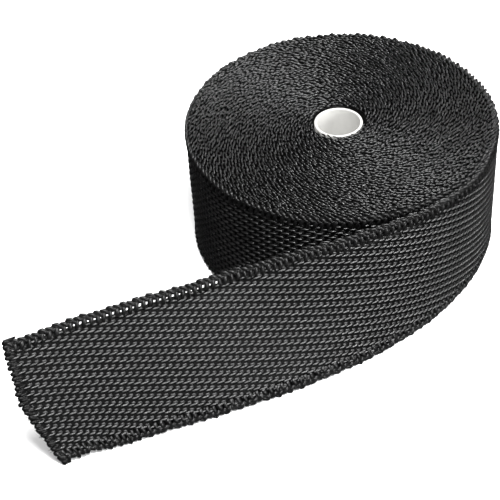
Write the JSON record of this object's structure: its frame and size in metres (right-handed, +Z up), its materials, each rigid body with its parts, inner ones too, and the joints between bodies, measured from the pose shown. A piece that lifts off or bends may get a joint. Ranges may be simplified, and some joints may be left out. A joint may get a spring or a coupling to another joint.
{
  "type": "exhaust heat wrap roll",
  "caption": "Roll of black woven heat-resistant tape on a small white core tube, standing on its end, with its loose end drawn out in a long leaning curve.",
  "frame": {"origin": "on the floor, under the middle of the bounding box of the roll and its loose end", "axes": "+Z up along the roll's axis; +X to the right and +Y away from the viewer, who faces the side on which the loose end is drawn out; the loose end points to -X and -Y"},
  "size_m": [0.1782, 0.1802, 0.0504],
  "materials": {
    "woven_tape": "matt black glass-fibre weave with a faint grey sheen",
    "core": "smooth off-white, satin"
  },
  "bodies": {
    "root": {"wrap_tape": "woven_tape", "core_tube": "core"}
  },
  "joints": []
}
